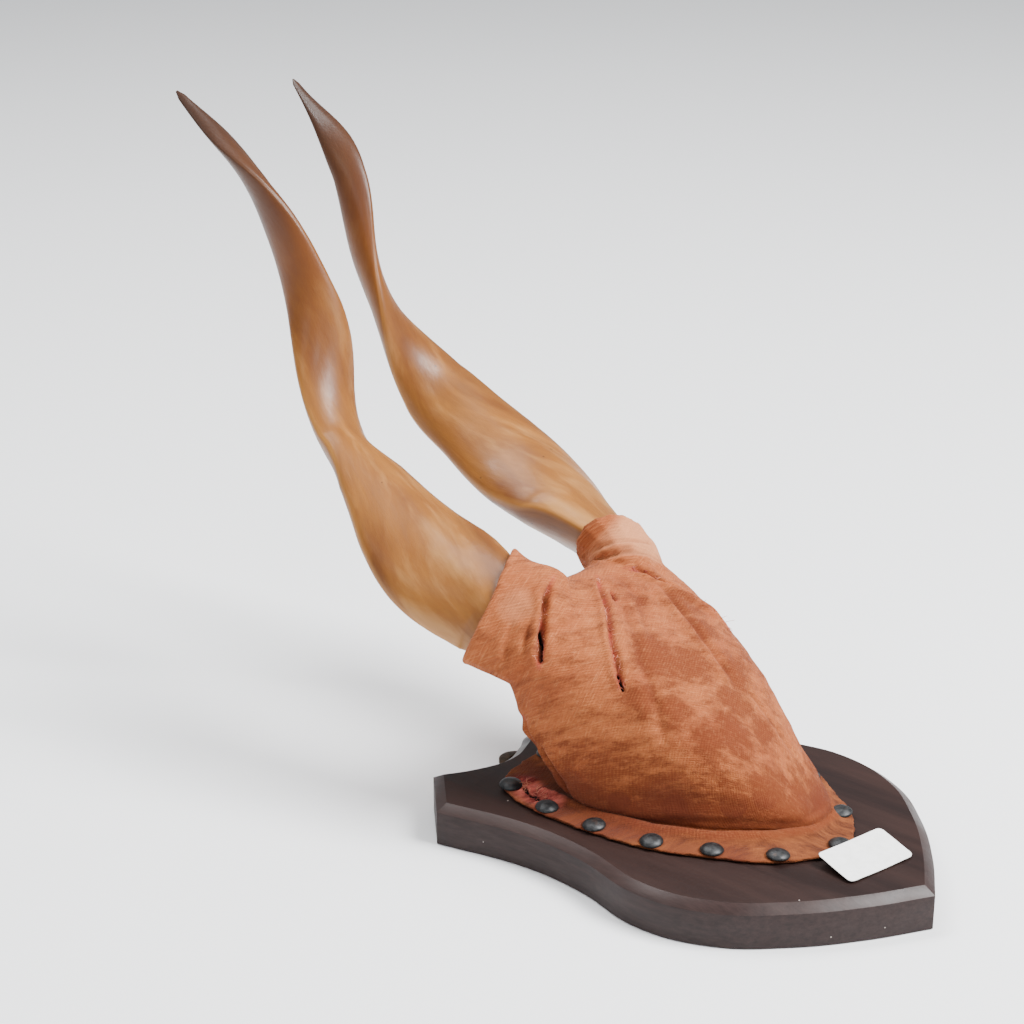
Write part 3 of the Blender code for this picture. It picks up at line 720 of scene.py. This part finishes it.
def model_velvet(material):
    """The worn velvet drawn over the skull form, with its tucks, slits and nailed flange."""
    cover = copy_node("velvet_cover", "velvet_over_form")
    mesher = cover.modifiers.new("cloth_mesh", "REMESH")
    mesher.mode = "VOXEL"
    mesher.voxel_size = CLOTH_STEP * MM
    soften = cover.modifiers.new("soften", "SMOOTH")
    soften.factor = 0.5
    soften.iterations = 5
    apply_modifiers(cover)
    places, normals = read_points(cover)
    far_side = (places[:, 0] > 15) & (places[:, 2] > 85)
    beyond = (places - RIM_MIDDLE) @ RIM_WAY
    pull = -FAR_COLLAR_DROP * step_between(-15, 0, beyond) * far_side
    places = places + pull[:, None] * RIM_WAY
    body = step_between(26.2, 30, places[:, 2])
    move = 0.5 * rumple(places, 34, 11) * body + 0.22 * rumple(places, 11, 12) * body
    painted_shade = np.zeros(len(places))
    painted_slit_shade = np.zeros(len(places))
    seams = np.zeros(len(places))
    for path, width, depth, lip in FOLDS:
        gap, share, foot, way = nearest_on(places, path)
        if depth >= 2.8:
            seams = np.maximum(seams, np.exp(-(gap / 1.5) ** 2))
        aside = np.einsum("ij,ij->i", np.cross(way, normals), places - foot)
        reach = np.exp(-(gap / (4.5 * width)) ** 2)
        fade = step_between(0.0, 0.15, share) * step_between(1.0, 0.82, share)
        wobble = 1 + 0.25 * rumple(places, 14, int(width * 10))
        groove = np.exp(-(aside / (0.6 * width)) ** 2)
        near = np.exp(-((aside - 1.5 * width) / width) ** 2)
        other = np.exp(-((aside + 1.6 * width) / (1.2 * width)) ** 2)
        move += reach * fade * wobble * (lip * near + 0.5 * lip * other - depth * groove)
        # The crease mask also carries painted shade.
        painted_shade = np.maximum(painted_shade, reach * fade * groove * min(1, 0.25 + depth / 4))
    frayed = np.zeros(len(places))
    for path, width, depth in SLITS:
        gap, share, foot, way = nearest_on(places, path)
        frayed = np.maximum(frayed, np.exp(-(gap / (width + 1.0)) ** 4))
        cut = np.exp(-(gap / width) ** 4)
        move -= depth * cut
        painted_slit_shade = np.maximum(painted_slit_shade, cut)
    frayed = np.maximum(frayed, seams)
    notch, _, _, _ = nearest_on(places, [(-34, 92, 134), (-28, 90, 131)])
    move += 10.0 * np.exp(-(notch / 9.5) ** 2)
    skirt = np.exp(-((places[:, 2] - 25.5) / 14) ** 2) * step_between(85, 50, places[:, 1])
    move += 2.2 * skirt * step_between(25.6, 32, places[:, 2])
    foot_gap, _, _, _ = nearest_on(places, FOOT_LINE)
    fillet = 3.4 * np.exp(-(foot_gap / 4.5) ** 2) * (places[:, 2] < 32) * np.clip(normals[:, 2], 0, 1)
    rim = np.full(len(places), 99.0)
    for side in (1, -1):
        mirror = np.array([-side, 1, 1])
        away = np.abs((places - RIM_MIDDLE * mirror) @ (RIM_WAY * mirror))
        own = places[:, 0] * side < 0
        rim = np.where(own & (places[:, 2] > 80), np.minimum(rim, away), rim)
    hem = np.exp(-((rim - 1.6) / 1.3) ** 2)
    move += 0.35 * hem
    torn_gap, _, _, _ = nearest_on(places, [(-52, 88, 25), (-58, 78, 26), (-60, 64, 26)])
    torn = np.exp(-(torn_gap / 8.5) ** 4) * (places[:, 2] < 40)
    move += torn * 1.3 * rumple(places, 5, 21)
    move *= step_between(23.2, 25.0, places[:, 2])
    places = places + normals * move[:, None]
    places[:, 2] = np.maximum(places[:, 2] + fillet, 23.35)
    edge_waves = 0.5 * rumple(places, 16, 31) + 0.4 * rumple(places, 6, 32)
    flange = step_between(27.5, 26.0, places[:, 2]) * (np.abs(normals[:, 2]) < 0.6)
    places[:, :2] += normals[:, :2] * (edge_waves * flange)[:, None]
    write_points(cover, places)
    pile = np.zeros(len(places))
    for middle, reach in PILE_PATCHES:
        gap = np.linalg.norm(places - np.array(middle), axis=1)
        pile = np.maximum(pile, np.exp(-(gap / reach) ** 2))
    # The lower front gets rust-brown pile and, where it is thick, painted shade.
    front = step_between(60, 32, places[:, 2]) * step_between(80, 20, places[:, 1])
    pile = np.maximum(pile, 0.75 * front)
    # The lower left flank gets more rust-brown pile and painted shade.
    flank = step_between(-18, -42, places[:, 0]) * step_between(80, 45, places[:, 2])
    pile = np.maximum(pile, 0.6 * flank)
    # Less pile round both collars; below zero the mask paints the cloth paler as painted light, most on the
    # far collar.
    for middle, loss_and_painted_light in (((46, 96, 128), 1.0), ((-48, 96, 122), 0.55)):
        gap = np.linalg.norm(places - np.array(middle), axis=1)
        pile -= loss_and_painted_light * step_between(28, 16, gap) * (places[:, 2] > 85)
    around = np.arctan2(places[:, 2] - 15, places[:, 0] - 4) * 62
    along = places[:, 1] * 0.78 + places[:, 2] * 0.62
    bias = math.radians(38)
    weft = around * math.cos(bias) - along * math.sin(bias)
    warp = around * math.sin(bias) + along * math.cos(bias)
    write_vector(cover, "cloth_map", np.stack([weft, warp, np.zeros(len(places))], axis=1))
    write_mask(cover, "frayed", frayed * step_between(-0.9, 0.7, rumple(places, 7, 51)))
    # Painted shade in a band along the foot of the cloth.
    foot_painted_shade = np.exp(-((places[:, 2] - 34) / 9) ** 2) * step_between(70, 30, places[:, 1])
    foot_painted_shade *= step_between(27, 31, places[:, 2]) * step_between(-1.2, 0.8, rumple(places, 24, 61))
    painted_shade = np.maximum(painted_shade, 0.95 * foot_painted_shade)
    painted_shade = np.maximum(painted_shade, 0.85 * flank * step_between(-1.4, 0.6, rumple(places, 30, 62)))
    write_mask(cover, "pile", pile)
    write_mask(cover, "painted_shade", np.clip(painted_shade + 0.5 * front * (pile > 0.75), 0, 1))
    write_mask(cover, "painted_slit_shade", painted_slit_shade)
    write_mask(cover, "low", step_between(27.6, 26.2, places[:, 2]))
    write_mask(cover, "torn", np.clip(torn, 0, 1))
    take(cover)
    bpy.ops.object.shade_smooth()
    cover = fit_out(cover, "velvet_over_form", "velvet", material, "velvet_cover")
    return cover


def fray(cover, material):
    """Loose threads along the worn tucks, the slits and the torn flange."""
    shape = bmesh.new()
    shape.from_mesh(cover.data)
    skin = BVHTree.FromBMesh(shape)
    data = bpy.data.curves.new("frayed_threads", "CURVE")
    data.dimensions = "3D"
    data.bevel_depth = 0.13 * MM
    data.use_fill_caps = True
    data.bevel_resolution = 1
    rows = [(FOLDS[3][0], 70, 2.2), (FOLDS[6][0], 60, 2.8), (FOLDS[0][0], 26, 1.6),
            ([(-52, 88, 26), (-58, 80, 27), (-61, 66, 26)], 46, 4.0), (SLITS[0][0], 14, 1.6)]
    for path, count, length in rows:
        path = [Vector(point) for point in path]
        for _ in range(count):
            leg = dice.randrange(len(path) - 1)
            start = path[leg].lerp(path[leg + 1], dice.random()) * MM
            start += Vector([dice.uniform(-1, 1) for _ in range(3)]) * 1.4 * MM
            spot, normal, _, _ = skin.find_nearest(start)
            way = Vector([dice.uniform(-1, 1) for _ in range(3)])
            way = (way - way.dot(normal) * normal).normalized()
            curl = way.cross(normal) * dice.uniform(-0.6, 0.6)
            reach = length * dice.uniform(0.6, 1.5) * MM
            thread = data.splines.new("POLY")
            thread.points.add(4)
            for step, knot in enumerate(thread.points):
                part = step / 4
                lift = math.sin(part * math.pi) * 0.35 * reach * dice.uniform(0.4, 1.0)
                spot_there = spot + way * reach * part + curl * reach * part * part
                spot_there += normal * (lift - 0.1 * MM)
                knot.co = (*spot_there, 1)
                knot.radius = 1.0 - 0.5 * part
    for base, tip in (((50, 33, 104), (48, 28, 108)), ((49, 30, 103), (50, 24, 106)),
                      ((46, 44, 111), (45, 40, 115))):
        thread = data.splines.new("POLY")
        thread.points.add(6)
        spot, normal, _, _ = skin.find_nearest(Vector(base) * MM)
        end = Vector(tip) * MM
        for step, knot in enumerate(thread.points):
            part = step / 6
            sway = Vector((math.sin(part * 5), math.cos(part * 4), 0)) * 0.9 * MM * part
            knot.co = (*(spot.lerp(end, part) + sway), 1)
            knot.radius = 0.9 - 0.3 * part
    shape.free()
    threads = bpy.data.objects.new("frayed_threads", data)
    bpy.context.scene.collection.objects.link(threads)
    take(threads)
    bpy.ops.object.convert(target="MESH")
    threads = bpy.context.object
    smooth(threads, 60)
    return fit_out(threads, "frayed_threads", "velvet", material)


def thread_finish():
    material, tree, shader = new_material("frayed_thread")
    place = object_place(tree)
    tint = noise(tree, place, 90.0, 3.0)
    colour = blend(tree, ramp(tree, tint, 0.42, 0.58), srgb(150, 66, 56), srgb(206, 132, 104))
    tree.links.new(colour, shader.inputs["Base Color"])
    tree.links.new(ramp(tree, tint, 0.3, 0.7, 0.8, 0.95), shader.inputs["Roughness"])
    return material


def model_board(material):
    """The shield board: outline filled, raised, inset for its chamfer and eased at every edge."""
    bare()
    bpy.ops.curve.primitive_bezier_circle_add()
    board = bpy.context.object
    board.data.dimensions = "2D"
    left = [(-x, y, kind) for x, y, kind in reversed(BOARD_HALF) if x > 0]
    outline = BOARD_HALF + left
    spline = board.data.splines[0]
    spline.bezier_points.add(len(outline) - len(spline.bezier_points))
    for knot, (x, y, kind) in zip(spline.bezier_points, outline):
        knot.co = (x * MM, y * MM, 0)
        knot.handle_left_type = "VECTOR" if kind == "sharp" else "AUTO"
        knot.handle_right_type = knot.handle_left_type
    board.data.resolution_u = 9
    board.data.fill_mode = "NONE"
    take(board)
    bpy.ops.object.convert(target="MESH")
    board = bpy.context.object
    open_edit(board, "EDGE")
    bpy.ops.mesh.select_all(action="SELECT")
    bpy.ops.mesh.remove_doubles(threshold=0.00005)
    bpy.ops.mesh.select_mode(type="VERT")
    bpy.ops.mesh.select_all(action="DESELECT")
    corners = [Vector((x * MM, y * MM, 0)) for x, y, kind in outline if kind == "sharp"]
    pick(board, lambda vert: any(0.00005 < (vert.co - corner).length < 0.0085 for corner in corners),
         "verts")
    bpy.ops.mesh.dissolve_verts()
    bpy.ops.mesh.select_all(action="SELECT")
    bpy.ops.mesh.edge_face_add()
    bpy.ops.mesh.select_mode(type="FACE")
    bpy.ops.mesh.select_all(action="SELECT")
    edge_height = (BOARD_THICK - CHAMFER_DEPTH) * MM
    bpy.ops.mesh.extrude_region_move(TRANSFORM_OT_translate={"value": (0, 0, edge_height)})
    bpy.ops.mesh.inset(thickness=CHAMFER_WIDTH * MM, depth=0, use_even_offset=True)
    bpy.ops.transform.translate(value=(0, 0, CHAMFER_DEPTH * MM))
    bpy.ops.mesh.select_all(action="SELECT")
    bpy.ops.mesh.normals_make_consistent(inside=False)
    close_edit()
    bare()
    bpy.ops.mesh.primitive_cube_add(size=1, location=(0, 118.7 * MM, -3.85 * MM))
    pocket = bpy.context.object
    pocket.scale = (19.6 * MM, 54 * MM, 12.3 * MM)
    settle(pocket)
    cut = board.modifiers.new("hanger_pocket", "BOOLEAN")
    cut.operation = "DIFFERENCE"
    cut.solver = "EXACT"
    cut.object = pocket
    ease = board.modifiers.new("eased_edges", "BEVEL")
    ease.width = 0.6 * MM
    ease.segments = 3
    ease.limit_method = "ANGLE"
    ease.angle_limit = math.radians(28)
    apply_modifiers(board)
    bpy.data.objects.remove(pocket, do_unlink=True)
    smooth(board, 25)
    return fit_out(board, "shield_board", "dark_wood", material, "plaque")


def model_nail(material):
    """One upholstery nail: a dome with a turned-down rim on a round, pointed shank."""
    bare()
    bpy.ops.mesh.primitive_uv_sphere_add(segments=40, ring_count=20, radius=NAIL_RADIUS * MM)
    nail = bpy.context.object
    open_edit(nail)
    bpy.ops.mesh.select_all(action="SELECT")
    bpy.ops.mesh.bisect(plane_co=(0, 0, 0.35 * NAIL_RADIUS * MM), plane_no=(0, 0, 1), clear_inner=True)
    close_edit()
    low = 0.35 * NAIL_RADIUS * MM
    high = NAIL_RADIUS * MM
    wide = math.sqrt(1 - 0.35 ** 2) * NAIL_RADIUS * MM
    for point in nail.data.vertices:
        point.co.z = (point.co.z - low) / (high - low) * (NAIL_RISE - 0.5) * MM + 0.5 * MM
        point.co.x *= NAIL_RADIUS * MM / wide
        point.co.y *= NAIL_RADIUS * MM / wide
    open_edit(nail, "EDGE")
    pick(nail, lambda edge: edge.is_boundary, "edges")
    bpy.ops.mesh.extrude_region_move(TRANSFORM_OT_translate={"value": (0, 0, -0.5 * MM)})
    bpy.ops.mesh.extrude_region_move(TRANSFORM_OT_translate={"value": (0, 0, 0)})
    bpy.ops.transform.resize(value=(0.16, 0.16, 1), center_override=(0, 0, 0))
    bpy.ops.mesh.extrude_region_move(TRANSFORM_OT_translate={"value": (0, 0, -11 * MM)})
    bpy.ops.mesh.extrude_region_move(TRANSFORM_OT_translate={"value": (0, 0, -2 * MM)})
    bpy.ops.mesh.merge(type="CENTER")
    close_edit()
    tidy_normals(nail)
    smooth(nail, 50)
    return nail


def place_nails(material):
    pattern = model_nail(material)
    for index, (x, y) in enumerate(NAIL_PLACES):
        nail = bpy.data.objects.new("nail_head", pattern.data.copy())
        bpy.context.scene.collection.objects.link(nail)
        lean = [math.radians(dice.uniform(-4, 4)) for _ in range(2)]
        dents = np.array([dice.uniform(-1, 1) for _ in range(3)])
        places, normals = read_points(nail)
        crown = step_between(0.8, 2.4, places[:, 2])
        places += normals * (0.12 * rumple(places + 40 * dents, 5, index) * crown)[:, None]
        write_points(nail, places)
        nail.data.transform(Euler((lean[0], lean[1], dice.uniform(0, 6))).to_matrix().to_4x4())
        nail.location = (x * MM, y * MM, NAIL_SEAT * MM + 0.25 * MM)
        number = "%02d" % (index + 1)
        fit_out(nail, "upholstery_nail_" + number, "dark_iron", material, "nail_" + number)
    bpy.data.objects.remove(pattern, do_unlink=True)


def model_label(material):
    """The blank paper tag with rounded corners and a slight curl."""
    bare()
    bpy.ops.mesh.primitive_grid_add(x_subdivisions=36, y_subdivisions=20, size=1)
    tag = bpy.context.object
    tag.scale = (45 * MM, 25.5 * MM, 1)
    settle(tag)
    places, _ = read_points(tag)
    corner = 3.0
    inner = np.maximum(np.abs(places[:, :2]) - [22.5 - corner, 12.75 - corner], 0)
    length = np.linalg.norm(inner, axis=1)
    pull = np.where(length > corner, corner / np.maximum(length, 1e-9), 1)
    base = np.abs(places[:, :2]) - inner
    places[:, :2] = np.sign(places[:, :2]) * (base + inner * pull[:, None])
    edge = np.maximum(np.abs(places[:, 0]) / 22.5, np.abs(places[:, 1]) / 12.75)
    places[:, 2] = 0.9 * (places[:, 0] / 22.5) ** 2 * 0.5 + 0.12 * rumple(places, 17, 8)
    write_points(tag, places)
    write_mask(tag, "rim", step_between(0.9, 1.0, edge))
    thick = tag.modifiers.new("paper", "SOLIDIFY")
    thick.thickness = 0.3 * MM
    apply_modifiers(tag)
    turn = Matrix.Rotation(math.radians(-13), 4, "Z") @ Matrix.Rotation(math.radians(11), 4, "X")
    tag.data.transform(Matrix.Translation(Vector((0.6, -95.5, 26.5)) * MM) @ turn)
    smooth(tag, 40)
    return fit_out(tag, "paper_tag", "paper", material, "label")


def soften_metal(node, name, material, width):
    """The CAD solid with its edges eased."""
    piece = copy_node(node, name)
    open_edit(piece)
    bpy.ops.mesh.select_all(action="SELECT")
    bpy.ops.mesh.dissolve_limited(angle_limit=math.radians(1))
    close_edit()
    ease = piece.modifiers.new("eased_edges", "BEVEL")
    ease.width = width * MM
    ease.segments = 2
    ease.limit_method = "ANGLE"
    ease.angle_limit = math.radians(40)
    apply_modifiers(piece)
    smooth(piece, 35)
    return fit_out(piece, name, "old_brass", material, node)


def model_screw(index, y, material):
    """A slotted screw, its head let into the hanger plate."""
    piece = copy_node("hanger_screw_%d" % index, "slotted_screw_%d" % index)
    bare()
    bpy.ops.mesh.primitive_cube_add(size=1, location=(0, y * MM, 0))
    slot = bpy.context.object
    slot.scale = (7 * MM, 0.8 * MM, 1.4 * MM)
    slot.rotation_euler = (0, 0, math.radians(35 * index))
    settle(slot)
    cut = piece.modifiers.new("slot", "BOOLEAN")
    cut.operation = "DIFFERENCE"
    cut.solver = "EXACT"
    cut.object = slot
    apply_modifiers(piece)
    bpy.data.objects.remove(slot, do_unlink=True)
    smooth(piece, 35)
    return fit_out(piece, "slotted_screw_%d" % index, "old_brass", material, "hanger_screw_%d" % index)


# Studio


def set_stage():
    """Pale floor, soft lamps and the camera at the photograph's angle."""
    bare()
    bpy.ops.mesh.primitive_plane_add(size=1, location=(0, 0, -0.0006))
    floor = bpy.context.object
    floor.scale = (16, 16, 1)
    settle(floor)
    material, tree, shader = new_material("pale_floor")
    place = object_place(tree)
    cloud = noise(tree, place, 1.2, 2.0)
    tree.links.new(blend(tree, cloud, srgb(242, 243, 245), srgb(246, 247, 248)), shader.inputs["Base Color"])
    shader.inputs["Roughness"].default_value = 0.6
    floor.data.materials.append(material)
    floor.name = "floor"
    world = bpy.data.worlds.new("studio")
    bpy.context.scene.world = world
    world.use_nodes = True
    back = world.node_tree.nodes["Background"]
    back.inputs["Color"].default_value = (0.92, 0.94, 0.97, 1)
    back.inputs["Strength"].default_value = 0.5
    for name, place, target, size, power in (
            ("key", (0.55, -1.25, 1.75), (0.0, 0.15, 0.1), (1.0, 1.0), 138),
            ("fill", (-1.9, 0.3, 1.4), (0.0, 0.1, 0.1), (0.8, 0.6), 6),
            ("front", (-1.5, -1.3, 2.1), (0.0, 0.1, 0.15), (0.7, 0.5), 18),
            ("glint", (-0.5, 1.0, 1.95), (0.0, 0.15, 0.15), (0.25, 0.45), 16),
            ("top", (0.3, 0.9, 2.2), (0.0, 0.1, 0.1), (1.2, 1.0), 40)):
        lamp = bpy.data.lights.new(name, "AREA")
        lamp.shape = "RECTANGLE"
        lamp.size, lamp.size_y = size
        lamp.energy = power
        item = bpy.data.objects.new(name, lamp)
        item.location = place
        item.rotation_euler = (Vector(target) - Vector(place)).to_track_quat("-Z", "Y").to_euler()
        bpy.context.scene.collection.objects.link(item)
    camera = bpy.data.cameras.new("camera")
    camera.lens = 84.375
    camera.sensor_width = 36
    camera.clip_end = 60
    item = bpy.data.objects.new("camera", camera)
    item.location = (-0.9324, -0.6459, 0.6524)
    pitch = math.radians(22.24)
    look = Vector((0.7646 * math.cos(pitch), 0.6445 * math.cos(pitch), -math.sin(pitch)))
    item.rotation_euler = look.to_track_quat("-Z", "Y").to_euler()
    bpy.context.scene.collection.objects.link(item)
    bpy.context.scene.camera = item


horn_look = horn_finish()
velvet_look = velvet_finish()
wood_look = wood_finish()
iron_look = iron_finish()
brass_look = brass_finish()
paper_look = paper_finish()
thread_look = thread_finish()

set_stage()
model_board(wood_look)
model_horn("left_goat_horn", LEFT_HORN, 1, horn_look, "left_horn")
model_horn("right_goat_horn", RIGHT_HORN, -1, horn_look, "right_horn")
velvet = model_velvet(velvet_look)
fray(velvet, thread_look)
place_nails(iron_look)
model_label(paper_look)
soften_metal("hanger_plate", "hanger_tab", brass_look, 0.3)
model_screw(1, 100, brass_look)
model_screw(2, 114, brass_look)
